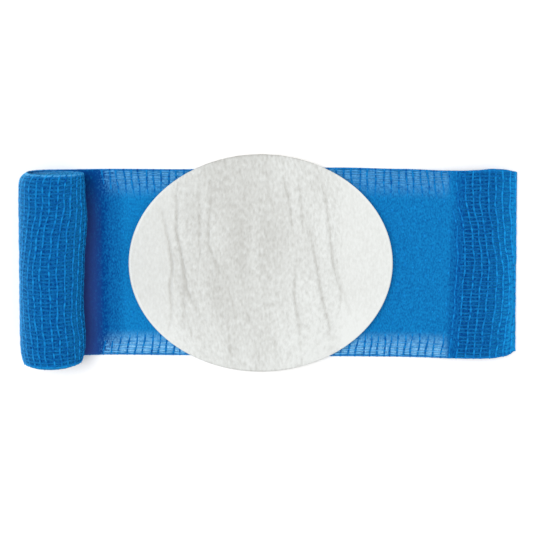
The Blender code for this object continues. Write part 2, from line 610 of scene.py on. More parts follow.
@dataclass
class BandPath:
    """The line that the band follows from the roll's core to the tail's cut end.

    Places on the band are given by their length along this line, their share of half
    the width and their lift off the middle of the cloth, towards the roll's inside.
    """

    left: float
    right: float
    middle_y: float = -0.75 * MM
    width: float = 50.0 * MM
    wall: float = 0.45 * MM
    layer_gap: float = 0.30 * MM
    roll_diameter: float = 16.8 * MM
    core_radius: float = 1.2 * MM
    near_squeeze: float = 0.10
    far_squeeze: float = 0.15
    near_curve: int = 4
    far_curve: int = 9
    far_offset: float = 0.90 * MM
    near_curl: float = 0.35 * MM
    curl_share: float = 1 / 12
    near_reach: float = 0.40 * MM
    far_drift: float = 0.42 * MM
    near_drift: float = 0.38 * MM
    drift_run: float = 18.0 * MM
    barrel_share: float = 0.6
    leave_turns: float = 0.3
    rise_length: float = 25.0 * MM
    crest_height: float = 4.5 * MM
    crest_setback: float = 8.0 * MM
    turn_height: float = 1.7 * MM
    turn_under: float = 4.2 * MM
    tail_length: float = 11.0 * MM
    tail_slant: float = 2.0 * MM
    tail_pull: float = 0.010
    steps_in_turn: int = 120
    flat_steps: int = 200
    rise_steps: int = 120
    turned_steps: int = 50

    # Rows are (position, near edge pulled in, far edge pulled in), pulls in shares of the width.
    edges: tuple = (
        (0.00, 0.000, 0.000),
        (0.12, 0.006, -0.003),
        (0.27, 0.003, -0.001),
        (0.50, 0.000, -0.009),
        (0.62, -0.003, -0.010),
        (0.75, -0.005, -0.003),
        (0.84, -0.001, 0.002),
        (0.88, 0.002, 0.001),
        (0.91, 0.004, -0.003),
        (0.94, 0.006, -0.006),
        (0.97, 0.014, -0.001),
        (1.00, 0.038, 0.010),
    )

    # Rows are (radius as a share of the roll's radius, near edge pulled in, far edge pulled in).
    roll_edges: tuple = (
        (0.00, 0.000, 0.004),
        (0.55, 0.002, 0.008),
        (0.75, 0.008, 0.008),
        (0.90, 0.016, 0.006),
        (1.00, 0.025, -0.003),
    )

    # Rows are (share of half the width, how far the roll's inner side stands out there).
    bulge: tuple = (
        (-1.00, 0.00 * MM),
        (-0.75, 0.10 * MM),
        (-0.35, -0.45 * MM),
        (0.10, -0.10 * MM),
        (0.50, 0.65 * MM),
        (0.85, 0.15 * MM),
        (1.00, 0.00 * MM),
    )

    line: dict = field(init=False, repr=False)
    roll_turns: float = field(init=False)

    def __post_init__(self) -> None:
        """Measure the path and keep what each place on it needs."""
        self.pitch = self.wall + self.layer_gap
        self.outer_radius = (self.roll_diameter + self.pitch - self.wall) / 2
        top = self.outer_radius + self.wall / 2
        self.centre = (self.left + top - self.pitch / 4, top)
        self.roll_turns = (self.outer_radius - self.core_radius) / self.pitch
        wound, run = self._wound(), self._run()
        x = np.concatenate([wound["x"], run["x"]])
        z = np.concatenate([wound["z"], run["z"]])
        s = np.concatenate([[0.0], np.cumsum(np.hypot(np.diff(x), np.diff(z)))])
        along_x, along_z = np.gradient(x, s), np.gradient(z, s)
        size = np.hypot(along_x, along_z)
        self.line = {"s": s, "x": x, "z": z, "nx": -along_z / size, "nz": along_x / size}
        for key in ("near", "far", "squeeze", "slant"):
            self.line[key] = np.concatenate([wound[key], run[key]])
        self.length = float(s[-1])
        in_roll = s[: len(wound["x"])]
        self.floor_at = float(in_roll[-1])
        self.skin_at = float(np.interp(-1.0, -wound["turn"], in_roll))

    def _wound(self) -> dict[str, np.ndarray]:
        """Work out the wound cloth, from the core out to the floor.

        Returns:
            The facts of each place, by name.
        """
        count = int(self.roll_turns * self.steps_in_turn)
        turn = np.linspace(self.roll_turns, 0.0, count)
        radius = self.outer_radius - self.pitch * turn
        angle = -math.pi / 2 - 2 * math.pi * turn
        shaped = smooth(turn / self.leave_turns)
        depth, drawn = radius / self.outer_radius, shaped * self.width
        return {
            "x": self.centre[0] + radius * np.cos(angle),
            "z": self.centre[1] + radius * np.sin(angle),
            "near": drawn * eased(self.roll_edges, depth, 1),
            "far": drawn * eased(self.roll_edges, depth, 2),
            "squeeze": shaped,
            "slant": np.zeros(count),
            "turn": turn,
        }

    def _run(self) -> dict[str, np.ndarray]:
        """Work out the cloth from the roll to the tail's cut end.

        Returns:
            The facts of each place, by name.
        """
        half = self.wall / 2
        crest_x, crest_z = self.right - self.crest_setback, self.crest_height - half
        rise_x = crest_x - self.rise_length
        flat = np.linspace(self.centre[0], rise_x, self.flat_steps)[1:]
        rise = np.linspace(0.0, 1.0, self.rise_steps)[1:]
        quarter = np.linspace(0.0, math.pi / 2, self.turned_steps)[1:]
        tail = np.linspace(0.0, 1.0, self.turned_steps)[1:]
        under_x = self.right - self.turn_under
        x = np.concatenate([
            flat,
            rise_x + self.rise_length * rise,
            crest_x + (self.crest_setback - half) * np.sin(quarter),
            under_x + (self.turn_under - half) * np.cos(quarter),
            under_x - self.tail_length * tail,
        ])
        z = np.concatenate([
            np.full(flat.size, half),
            half + (crest_z - half) * smooth(rise),
            self.turn_height + (crest_z - self.turn_height) * np.cos(quarter),
            self.turn_height - (self.turn_height - half) * np.sin(quarter),
            np.full(tail.size, half),
        ])
        position = (x - self.centre[0]) / (self.right - self.centre[0])
        nothing = np.zeros(x.size)
        slant = nothing.copy()
        slant[-tail.size:] = tail
        return {
            "x": x,
            "z": z,
            "near": eased(self.edges, position, 1) * self.width,
            "far": (eased(self.edges, position, 2) + self.tail_pull * slant) * self.width,
            "squeeze": nothing,
            "slant": slant,
        }

    def read(self, key: str, along: np.ndarray) -> np.ndarray:
        """Read one of the line's facts.

        Args:
            key: the fact's name.
            along: lengths from the roll's core.

        Returns:
            Its values there.
        """
        return np.interp(along, self.line["s"], self.line[key])

    def place(self, along: np.ndarray, across: np.ndarray, lift: np.ndarray) -> np.ndarray:
        """Find where places on the band lie.

        Args:
            along: lengths from the roll's core.
            across: shares of half the width, -1 at the near edge and 1 at the far edge.
            lift: heights off the middle of the cloth, towards the roll's inside.

        Returns:
            Rows of x, y and z.
        """
        pull = np.where(across < 0, self.read("near", along), self.read("far", along))
        ends = np.clip((np.abs(across) - self.barrel_share) / (1 - self.barrel_share), 0, None)
        squeeze = np.where(across < 0, self.near_squeeze, self.far_squeeze)
        wound = self.read("squeeze", along)
        taper = ends ** np.where(across < 0, self.near_curve, self.far_curve)
        draw = 1 - wound * squeeze * taper
        x = self.read("x", along) + self.read("nx", along) * lift
        z = self.read("z", along) + self.read("nz", along) * lift
        x = x + self.tail_slant * self.read("slant", along) * across
        inner = np.clip((x - self.centre[0]) / self.outer_radius, 0, 1)
        shift = wound * (self.far_drift * (1 + across) / 2 + inner * eased(self.bulge, across, 1))
        turned = smooth((x - self.right) / self.drift_run + 1)
        shift += turned * self.near_drift * (1 - across) / 2
        shift += wound * self.far_offset * np.where(across < 0, 0.0, taper)
        curl = (1 - wound) * self.near_curl * smooth(1 - (1 + across) / self.curl_share)
        pull = pull - wound * self.near_reach * np.where(across < 0, -across, 0.0) ** 2
        return np.column_stack([
            self.centre[0] + (x - self.centre[0]) * draw + shift,
            self.middle_y + across * (self.width / 2 - pull),
            self.centre[1] + (z - self.centre[1]) * draw + curl,
        ])

    def along_at(self, x: float) -> float:
        """Find where the line's flat or rising run reaches a place.

        Args:
            x: the place, in the frame's first direction.

        Returns:
            The length along the line.
        """
        run = self.line["s"] >= self.floor_at
        end = int(np.argmax(self.line["x"][run]))
        return float(np.interp(x, self.line["x"][run][:end], self.line["s"][run][:end]))


@dataclass
class WeaveSizes:
    """Sizes of the open weave: thick ribs across the band and finer rows along it."""

    rib_pitch: float = 1.95 * MM
    rib_half_width: float = 0.27 * MM
    rib_half_height: float = 0.20 * MM
    rib_rise: float = 0.03 * MM
    row_pitch: float = 1.05 * MM
    row_half_width: float = 0.27 * MM
    row_half_height: float = 0.095 * MM
    row_rise: float = 0.07 * MM
    selvedge_rows: int = 2
    selvedge_pitch: float = 0.50 * MM
    selvedge_gap: float = 0.8 * row_pitch
    selvedge_swell: float = 0.25
    first_rib: int = 2
    rib_sides: int = 5
    coil_rib_sides: int = 4
    row_sides: int = 4

    # How far the ribs are carried along the band. Rows are (share of half the width, share
    # of the bow), and the sway adds to it in two slow waves.
    bow: float = 2.3 * MM
    bow_steady: tuple = (
        (-1.00, 0.28),
        (-0.80, 0.55),
        (-0.45, 0.96),
        (-0.05, 1.00),
        (0.35, 0.62),
        (0.70, 0.12),
        (1.00, 0.00),
    )
    bow_fade: float = 8.0 * MM
    sway: float = 0.30
    sway_run: float = 9.0 * MM
    sway_start: float = 1.3
    sway_lean: float = 2.4
    sway_drift: float = 31.0 * MM
    ripple: float = 0.14
    ripple_run: float = 4.3 * MM
    ripple_lean: float = 5.1
    edge_calm: float = 0.4

    # Rows for waves() over a rib's share of half the width and the rib's number.
    rib_jitter: tuple = ((0.10, 0.0, 12.9898), (0.07, 0.0, 4.1))
    rib_waver: tuple = ((0.10 * MM, 23.0, 3.7),)
    rib_swell: tuple = ((0.13, 17.0, 2.3), (0.10, 41.0, 5.7))

    # Rows for waves() over the rib that a row passes and the row's number.
    row_wander: tuple = ((0.08, 0.9, 2.1), (0.09, 2.7, 4.3))
    row_swell: tuple = ((0.14, 1.7, 3.1),)

    # Where each thread lies in the pattern that its fibres read.
    yarn_rib_step: float = 3.0 * MM
    yarn_row_step: float = 7.0 * MM
    yarn_side: float = 0.2 * MM
    yarn_spin: float = 0.1 * MM


@dataclass
class ThreadTones:
    """How pale the threads are, from 0, deep, to 1, pale, and how much painted light they take.

    A thread takes its finish's pale painted light colour where light would come through the open
    weave from the white floor, and on the roll's sides as a painted highlight. The rim tone, the
    raised ribs' tone and the turned end's rising tone are painted highlights too.
    """

    rib: float = 0.46
    # Painted highlight where a rib lies over a row, on the side that shows.
    raised_rib_highlight: float = 0.18
    flecks: tuple = ((0.38, 1 / 42, 1 / 5.3, 2.0),)
    # Painted highlight on the ribs towards the turned end's rim.
    bright: float = 0.36
    end_highlight_from_x: float = 57.0 * MM
    end_highlight_run: float = 6.0 * MM
    behind_thin_nap: float = 0.12
    # Painted highlight on the roll's sides, in tone and in the pale colour, weaker on the side
    # towards the pad.
    rim: float = 0.34
    inner_rim: float = 0.2
    rim_painted_light: float = 0.7
    row: float = 0.27
    # Rows paler where the nap thins, along with the painted light there.
    row_in_thin_nap: float = 0.45
    painted_light_far_share: float = 0.55
    selvedge: float = 0.40
    selvedge_in_roll: float = 0.68
    # Shares of painted light on the selvedges, on the roll's far selvedge as a painted highlight,
    # and on the rows, most between the ribs.
    selvedge_painted_light: float = 0.4
    far_selvedge_painted_light_in_roll: float = 0.5
    row_painted_light: float = 0.5
    row_painted_light_between_ribs: float = 1.3


@dataclass
class NapSizes:
    """Sizes of the felted nap behind the weave, on the side that the roll hides."""

    # Rows for layered() over the length along the band and the place across it.
    relief: tuple = (
        (0.045 * MM, 0.9 * MM, 1.3 * MM, 3.0),
        (0.027 * MM, 0.5 * MM, 0.8 * MM, 7.0),
    )
    thickness: float = 0.12 * MM
    flat_cell: float = 0.45 * MM
    roll_cell: float = 0.42 * MM
    edge_gap: float = 0.25 * MM
    end_gap: float = 0.975 * MM
    near_edge: float = -0.84
    far_edge: float = 0.80
    edge_fade: float = 0.13
    open_end_x: float = 47.5 * MM
    open_fade: float = 2.0 * MM
    open_start: float = 5.0
    ridge_height: float = 0.12 * MM
    ridge_tone: float = 0.18
    ridge_power: int = 4
    ridge_start_run: float = 2.0 * MM
    ridge_end_run: float = 3.0 * MM
    # Painted highlight on the roll's sides, in tone and in the pale colour, weaker on the side
    # towards the pad.
    rim_highlight_tone: float = 0.55
    inner_rim: float = 0.9
    rim_painted_light: float = 0.5
    # How much painted light the nap takes along the flat run's edges, standing in for the floor seen
    # through it; the far edge takes a share of it.
    painted_light: float = 1.40
    painted_light_far_share: float = 0.33

    # Rows are (length from where the roll meets the floor or from the sinking place,
    # lift towards the roll's inside, tone from 0, deep, to 1, pale). The tones are painted
    # shade: deep in the roll and in the valley beside it, and deep where the nap sinks under
    # the turned end's ribs; they rise to a painted highlight towards the turned end's rim.
    leaving: tuple = (
        (-1.0 * MM, 0.24 * MM, 0.09),
        (0.0 * MM, 0.32 * MM, 0.00),
        (11.0 * MM, 0.30 * MM, 0.00),
        (15.0 * MM, 0.20 * MM, 0.36),
        (18.5 * MM, 0.13 * MM, 0.66),
        (25.0 * MM, 0.13 * MM, 0.66),
        (85.0 * MM, 0.13 * MM, 0.54),
    )
    sinking: tuple = (
        (0.0 * MM, 0.13 * MM, 0.54),
        (1.5 * MM, 0.09 * MM, 0.28),
        (3.2 * MM, 0.00 * MM, 0.12),
        (4.6 * MM, -0.28 * MM, 0.02),
        (10.0 * MM, -0.28 * MM, 0.07),
        (14.0 * MM, -0.28 * MM, 0.42),
        (18.0 * MM, -0.05 * MM, 0.74),
    )
    sink_start_x: float = 46.5 * MM
    sink_slant: float = 0.8 * MM
    thin_drop: float = 0.30 * MM
    drop_far_share: float = 0.9

    # Rows are (length from where the roll meets the floor, share of the painted shadow colour): the
    # roll's shadow in the valley beside it, painted in.
    painted_shadow: tuple = (
        (7.8 * MM, 0.90),
        (9.3 * MM, 0.55),
        (10.7 * MM, 0.20),
        (12.0 * MM, 0.00),
    )
    painted_shadow_start_run: float = 1.0 * MM
    painted_shadow_far_edge: float = 0.95
    painted_shadow_far_fade: float = 0.6


# How far a straight thread's section reaches from its middle, before it is bent.
LOOM_RADIUS = 0.25


class WovenBand:
    """The blue band: its threads, its felted nap and how they are bent."""

    def __init__(self, path: BandPath, shelf: GroupShelf) -> None:
        """Keep the path and make the threads' and the nap's finishes.

        Args:
            path: the line that the band follows.
            shelf: the shared node groups.
        """
        self.path = path
        self.weave = WeaveSizes()
        self.tones = ThreadTones()
        self.nap = NapSizes()
        self.sink_at = path.along_at(self.nap.sink_start_x)
        self.thread_finish = THREAD_BLUE.make(shelf)
        self.nap_finish = NAP_BLUE.make(shelf)

    def bow(self, along: np.ndarray, across: np.ndarray) -> np.ndarray:
        """Return how far the ribs are carried along the band at places on it.

        Args:
            along: lengths from the roll's core.
            across: shares of half the width.

        Returns:
            Shifts in metres, largest just below the middle of the width.
        """
        sizes = self.weave
        steady = eased(sizes.bow_steady, across, 1)
        lean = np.sin(sizes.sway_lean * across + along / sizes.sway_drift)
        sway = sizes.sway * np.sin(along / sizes.sway_run + sizes.sway_start) * lean
        sway += sizes.ripple * np.sin(along / sizes.ripple_run + sizes.ripple_lean * across)
        straight = smooth((self.path.length - along) / sizes.bow_fade)
        return sizes.bow * straight * (steady + sway * (1 - sizes.edge_calm * np.abs(across)))

    def rows(self) -> np.ndarray:
        """Work out where the rows lie across the band.

        Returns:
            Shares of half the width: the near edge's firm rows from the edge in, the
            middle's, and the far edge's firm rows from the edge in.
        """
        half = self.path.width / 2
        sizes = self.weave
        lips = np.arange(sizes.selvedge_rows) * sizes.selvedge_pitch + sizes.row_half_width
        inner = half - lips[-1] - sizes.selvedge_gap
        count = int(2 * inner / sizes.row_pitch) + 1
        middle = np.linspace(-inner, inner, count)
        return np.concatenate([-half + lips, middle, half - lips]) / half

    def threads(self, sides: int, count: int, steps: int) -> bpy.types.Mesh:
        """Make straight threads side by side, ready to be bent.

        Args:
            sides: how many sides a thread's section has.
            count: how many threads.
            steps: how many stretches each thread has.

        Returns:
            A mesh whose x holds the thread's number and its section, whose y is from
            0 to 1 along the thread and whose z is the section's height.
        """
        shape = bmesh.new()
        bmesh.ops.create_cone(
            shape, cap_ends=True, segments=sides, radius1=LOOM_RADIUS, radius2=LOOM_RADIUS, depth=1.0
        )
        bmesh.ops.subdivide_edges(shape, edges=edges_along(shape), cuts=steps - 1)
        turn = Matrix.Rotation(-math.pi / 2, 3, "X")
        bmesh.ops.rotate(shape, verts=shape.verts, cent=(0, 0, 0), matrix=turn)
        bmesh.ops.translate(shape, verts=shape.verts, vec=(0.0, 0.5, 0.0))
        first = shape.verts[:] + shape.edges[:] + shape.faces[:]
        for number in range(1, count):
            made = points_made(bmesh.ops.duplicate(shape, geom=first))
            bmesh.ops.translate(shape, verts=made, vec=(float(number), 0.0, 0.0))
        return mesh_of(shape)

    def read_loom(self, mesh: bpy.types.Mesh) -> tuple[np.ndarray, ...]:
        """Read where each point of straight threads stands.

        Args:
            mesh: straight threads.

        Returns:
            The threads' numbers, the shares along them from 0 to 1, and the places in
            their sections, to the side and in height, as shares of the radius.
        """
        loom = get_points(mesh)
        number = np.round(loom[:, 0])
        return number, loom[:, 1], (loom[:, 0] - number) / LOOM_RADIUS, loom[:, 2] / LOOM_RADIUS

    def bend_ribs(self, mesh: bpy.types.Mesh, first_rib: int) -> None:
        """Lay straight threads across the band and bend them onto it.

        Args:
            mesh: straight threads.
            first_rib: the first thread's number, counted from the roll's core.
        """
        sizes, tones, path = self.weave, self.tones, self.path
        number, share, side, height = self.read_loom(mesh)
        rib = number + first_rib
        across = share * 2 - 1
        along = (rib + waves(sizes.rib_jitter, across, rib)) * sizes.rib_pitch
        along = along + self.bow(along, across) + waves(sizes.rib_waver, across, rib)
        thick = 1 + waves(sizes.rib_swell, across, rib)
        places = self.rows()
        over = np.cos(math.pi * (np.interp(across, places, np.arange(len(places))) + rib))
        lift = sizes.rib_rise * over + height * sizes.rib_half_height * thick
        along = np.clip(along + side * sizes.rib_half_width * thick, 0.0, path.length)
        set_points(mesh, path.place(along, across, lift))

        shown = np.where(along < path.floor_at, -over, over)
        past_end_highlight = along - path.along_at(tones.end_highlight_from_x)
        # Painted highlight where a rib lies over a row, on the side that shows, plus random flecks.
        tone = tones.rib + tones.raised_rib_highlight * shown + layered(tones.flecks, across, rib)
        # Painted highlight on the ribs towards the turned end's rim.
        tone += tones.bright * smooth(past_end_highlight / tones.end_highlight_run)
        # Painted highlight on the roll's sides.
        tone += tones.rim * self.rim_share(along, tones.inner_rim)
        tone -= tones.behind_thin_nap * self.nap_thinness(along, across, 1.0)
        store(mesh, "tone", tone)
        # The roll's sides take the pale painted light colour as a painted highlight.
        store(mesh, "painted_light", tones.rim_painted_light * self.rim_share(along, 0.0))
        store(mesh, "thread", np.column_stack([
            rib * sizes.yarn_rib_step + side * sizes.yarn_side,
            across * path.width / 2,
            np.arctan2(height, side) * sizes.yarn_spin,
        ]))

    def bend_rows(self, mesh: bpy.types.Mesh, first_rib: int, last_rib: int) -> None:
        """Lay straight threads along the band and bend them onto it.

        Args:
            mesh: straight threads, one for each row.
            first_rib: the number of the rib that they start at.
            last_rib: the number of the rib that they end at.
        """
        sizes, tones, path = self.weave, self.tones, self.path
        places = self.rows()
        number, share, side, height = self.read_loom(mesh)
        rib = first_rib + share * (last_rib - first_rib)
        middle = places[number.astype(int)]
        lip = np.isclose(np.abs(middle), places.max())
        wander = np.where(lip, 0.0, waves(sizes.row_wander, rib, number)) * sizes.row_pitch
        thick = 1 + waves(sizes.row_swell, rib, number) + np.where(lip, sizes.selvedge_swell, 0.0)
        across = middle + (wander + side * sizes.row_half_width * thick) / (path.width / 2)
        along = rib * sizes.rib_pitch
        along = np.clip(along + self.bow(along, middle), 0.0, path.length)
        lift = height * sizes.row_half_height * thick
        lift -= sizes.row_rise * np.cos(math.pi * (rib + number))
        set_points(mesh, path.place(along, np.clip(across, -1.0, 1.0), lift))

        wound = along < path.floor_at
        # Painted light along the flat run's edges, standing in for the floor seen through the open
        # weave; the rows there are paler too.
        painted_light = self.nap_thinness(along, middle, tones.painted_light_far_share)
        lip_tone = np.where(wound, tones.selvedge_in_roll, tones.selvedge)
        tone = np.where(lip, lip_tone, tones.row + tones.row_in_thin_nap * painted_light)
        # Painted highlight on the roll's sides.
        store(mesh, "tone", tone + tones.rim * self.rim_share(along, tones.inner_rim))
        # Most painted light between the ribs, less on the selvedges, and some on the roll's far
        # selvedge as a painted highlight.
        between = tones.row_painted_light + tones.row_painted_light_between_ribs * np.sin(math.pi * rib) ** 2
        painted_light *= np.where(lip, tones.selvedge_painted_light, between)
        painted_light += np.where(lip & wound & (middle > 0), tones.far_selvedge_painted_light_in_roll, 0.0)
        store(mesh, "painted_light", painted_light + tones.rim_painted_light * self.rim_share(along, 0.0))
        store(mesh, "thread", np.column_stack([
            along, middle * sizes.yarn_row_step + side * sizes.yarn_side, height * sizes.yarn_side
        ]))

    def make_weave(self, stretch: Stretch, start: float, end: float) -> bpy.types.Object:
        """Make the ribs and rows of one stretch of the band as one mesh.

        Args:
            stretch: which stretch.
            start: where it starts, as a length from the roll's core.
            end: where it ends.

        Returns:
            The piece.
        """
        sizes = self.weave
        first, last = math.ceil(start / sizes.rib_pitch), math.ceil(end / sizes.rib_pitch)
        row_count = len(self.rows())
        rib_sides = sizes.coil_rib_sides if stretch is Stretch.COIL else sizes.rib_sides
        ribs = self.threads(rib_sides, last - first, 2 * row_count)
        self.bend_ribs(ribs, first)
        rows = self.threads(sizes.row_sides, row_count, 2 * (last - first))
        self.bend_rows(rows, first, last)
        both = bmesh.new()
        both.verts.layers.float_vector.new("thread")
        both.verts.layers.float.new("tone")
        both.verts.layers.float.new("painted_light")
        both.from_mesh(ribs)
        both.from_mesh(rows)
        for spent in (ribs, rows):
            bpy.data.meshes.remove(spent)
        piece = add_piece(stretch.value, mesh_of(both), self.thread_finish)
        return piece

    def nap_state(self, along: np.ndarray, across: np.ndarray, column: int) -> np.ndarray:
        """Return the nap's lift or tone.

        It lies behind the weave in the roll, comes through it on the flat run, and
        lies behind it again where the turned end shows the ribs.

        Args:
            along: lengths from the roll's core.
            across: shares of half the width.
            column: 1 for the lift in metres, 2 for the tone, which holds painted shade and a painted
                highlight.

        Returns:
            Lifts towards the roll's inside, or tones from 0, deep, to 1, pale.
        """
        leaving = eased(self.nap.leaving, along - self.path.floor_at, column)
        past = along - self.sink_at - self.nap.sink_slant * across
        return np.where(past < 0, leaving, eased(self.nap.sinking, past, column))

    def rim_share(self, along: np.ndarray, inner_share: float) -> np.ndarray:
        """Return how far the roll's cloth has turned to the roll's sides, where it takes a painted
        highlight.

        Args:
            along: lengths from the roll's core.
            inner_share: how much the side towards the pad counts, as a share of the other.

        Returns:
            Shares from 0, level, to 1, upright.
        """
        path = self.path
        upright = (1 - path.read("nz", along) ** 2) ** 2
        upright *= np.where(path.read("nx", along) < 0, inner_share, 1.0)
        return np.where(along < path.floor_at, upright, 0.0)

    def nap_thinness(self, along: np.ndarray, across: np.ndarray, far_share: float) -> np.ndarray:
        """Return how far the nap thins, along the flat run's two edges only.

        There it drops below the ribs, and the cloth takes painted light that stands in for the white
        floor seen through the open weave.

        Args:
            along: lengths from the roll's core.
            across: shares of half the width.
            far_share: how thin the far edge is, as a share of the near edge.

        Returns:
            Shares from 0, dense, to 1, where the nap is thinnest.
        """
        sizes, path = self.nap, self.path
        near = smooth((sizes.near_edge + sizes.edge_fade - across) / (2 * sizes.edge_fade))
        far = smooth((across - sizes.far_edge + sizes.edge_fade) / (2 * sizes.edge_fade))
        ends = smooth((path.along_at(sizes.open_end_x) - along) / sizes.open_fade)
        ends *= smooth((along - path.floor_at) / sizes.open_fade - sizes.open_start)
        return (near + far_share * far) * ends

    def ridge_share(self, along: np.ndarray, across: np.ndarray) -> np.ndarray:
        """Return how far the nap bunches up between two ribs, where the ribs show.

        Args:
            along: lengths from the roll's core.
            across: shares of half the width.

        Returns:
            Shares from 0, at the ribs, to 1, midway between them.
        """
        sizes = self.nap
        rib = (along - self.bow(along, across)) / self.weave.rib_pitch
        covered = smooth((along - self.path.floor_at) / sizes.ridge_start_run)
        covered *= smooth((self.sink_at - along) / sizes.ridge_end_run + 1)
        return (1 - covered) * np.sin(math.pi * rib) ** sizes.ridge_power

    def make_nap(self, name: str, start: float, end: float, cell: float) -> bpy.types.Object:
        """Make the felted nap behind one stretch of the weave.

        Args:
            name: the piece's name.
            start: where the stretch starts, as a length from the roll's core.
            end: where it ends.
            cell: the size of its mesh's cells.

        Returns:
            The piece.
        """
        sizes, path = self.nap, self.path
        reach = 1 - 2 * sizes.edge_gap / path.width
        columns = int((end - start) / cell)
        rows = int(reach * path.width / cell)
        sheet = bmesh.new()
        bmesh.ops.create_grid(sheet, x_segments=columns, y_segments=rows, size=0.5)
        mesh = mesh_of(sheet)
        grid = get_points(mesh) + 0.5
        along = start + grid[:, 0] * (end - start)
        across = (2 * grid[:, 1] - 1) * reach
        relief = layered(sizes.relief, along, across * path.width / 2)
        drop = sizes.thin_drop * self.nap_thinness(along, across, sizes.drop_far_share)
        ridge = self.ridge_share(along, across)
        drop -= sizes.ridge_height * ridge * np.where(along < path.floor_at, -1.0, 1.0)
        set_points(mesh, path.place(along, across, self.nap_state(along, across, 1) + relief - drop))

        # The tone holds painted shade and a painted highlight; the ridges between the ribs are
        # paler.
        tone = self.nap_state(along, across, 2) + sizes.ridge_tone * ridge
        # Painted highlight on the roll's sides.
        store(mesh, "tone", tone + sizes.rim_highlight_tone * self.rim_share(along, sizes.inner_rim))
        # Painted light along the flat run's edges, standing in for the floor seen through the nap.
        painted_light = sizes.painted_light * self.nap_thinness(along, across, sizes.painted_light_far_share)
        store(mesh, "painted_light", painted_light + sizes.rim_painted_light * self.rim_share(along, 0.0))
        # Painted shadow in the valley beside the roll, fading out towards the far edge.
        past = along - path.floor_at
        shaded = smooth(past / sizes.painted_shadow_start_run)
        shaded *= smooth((sizes.painted_shadow_far_edge - across) / sizes.painted_shadow_far_fade)
        store(mesh, "painted_shadow", shaded * eased(sizes.painted_shadow, past, 1))
        piece = add_piece(name, mesh, self.nap_finish)
        wall = piece.modifiers.new("Thickness", "SOLIDIFY")
        wall.thickness = sizes.thickness
        wall.offset = 0.0
        return piece

    def build(self) -> None:
        """Make the band's pieces."""
        path = self.path
        pitch = self.weave.rib_pitch
        split = round(path.skin_at / pitch) * pitch
        coil = self.make_weave(Stretch.COIL, self.weave.first_rib * pitch, split)
        outer = self.make_weave(Stretch.OUTER, split, path.length)
        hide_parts("bandage")
        sizes = self.nap
        self.make_nap("roll_nap", split, path.floor_at, sizes.roll_cell)
        self.make_nap("band_nap", path.floor_at, path.length - sizes.end_gap, sizes.flat_cell)


@dataclass
class Crease:
    """One crease of the pad's face: points in shares of the pad's half sizes.

    A low bank stands at each side of its valley, placed in shares of its half width.
    """

    points: tuple
    depth: float = 0.29 * MM
    half_width: float = 0.33 * MM
    bank_place: float = 2.2
    bank_width: float = 1.3
    right_bank: float = 0.45
    left_bank: float = 0.15


CREASES = (
    Crease(((-0.754, 0.532), (-0.693, 0.183), (-0.670, -0.046), (-0.693, -0.193),
            (-0.678, -0.431), (-0.701, -0.624))),
    Crease(((-0.640, 0.697), (-0.633, 0.505), (-0.640, 0.303), (-0.595, 0.064),
            (-0.580, -0.092), (-0.557, -0.266), (-0.473, -0.459)), 0.34 * MM),
    Crease(((-0.580, -0.092), (-0.590, -0.266), (-0.580, -0.606)), 0.18 * MM),
    Crease(((-0.473, 0.826), (-0.458, 0.532), (-0.466, 0.303), (-0.462, -0.020)), 0.16 * MM),
    Crease(((-0.367, 0.679), (-0.390, 0.413), (-0.398, 0.183), (-0.352, 0.037),
            (-0.314, -0.119)), 0.24 * MM),
    Crease(((0.163, 0.826), (0.208, 0.606), (0.246, 0.303), (0.270, 0.180)), 0.20 * MM),
    Crease(((0.284, 0.798), (0.307, 0.532), (0.322, 0.275)), 0.20 * MM),
    Crease(((0.443, 0.780), (0.490, 0.606), (0.510, 0.413), (0.527, 0.211),
            (0.548, 0.009), (0.572, -0.130), (0.612, -0.251), (0.600, -0.420)), 0.30 * MM),
    Crease(((0.370, 0.323), (0.423, -0.020), (0.478, -0.380), (0.518, -0.546),
            (0.545, -0.726)), 0.28 * MM),
    Crease(((0.277, 0.156), (0.254, -0.280), (0.290, -0.560), (0.315, -0.900)), 0.24 * MM),
    Crease(((-0.226, -0.290), (-0.186, -0.546)), 0.15 * MM),
    Crease(((-0.131, -0.382), (-0.064, -0.579)), 0.15 * MM),
    Crease(((-0.240, -0.677), (-0.219, -0.940)), 0.16 * MM),
    Crease(((-0.016, -0.808), (-0.016, -0.960)), 0.14 * MM),
    Crease(((0.100, -0.660), (0.126, -0.930)), 0.15 * MM),
    Crease(((0.227, -0.775), (0.207, -0.930)), 0.14 * MM),
    Crease(((0.560, 0.044), (0.627, -0.251), (0.694, -0.497)), 0.12 * MM),
    Crease(((0.034, 0.900), (0.060, 0.640), (0.110, 0.420)), 0.12 * MM),
    Crease(((-0.560, -0.480), (-0.520, -0.700)), 0.12 * MM),
)


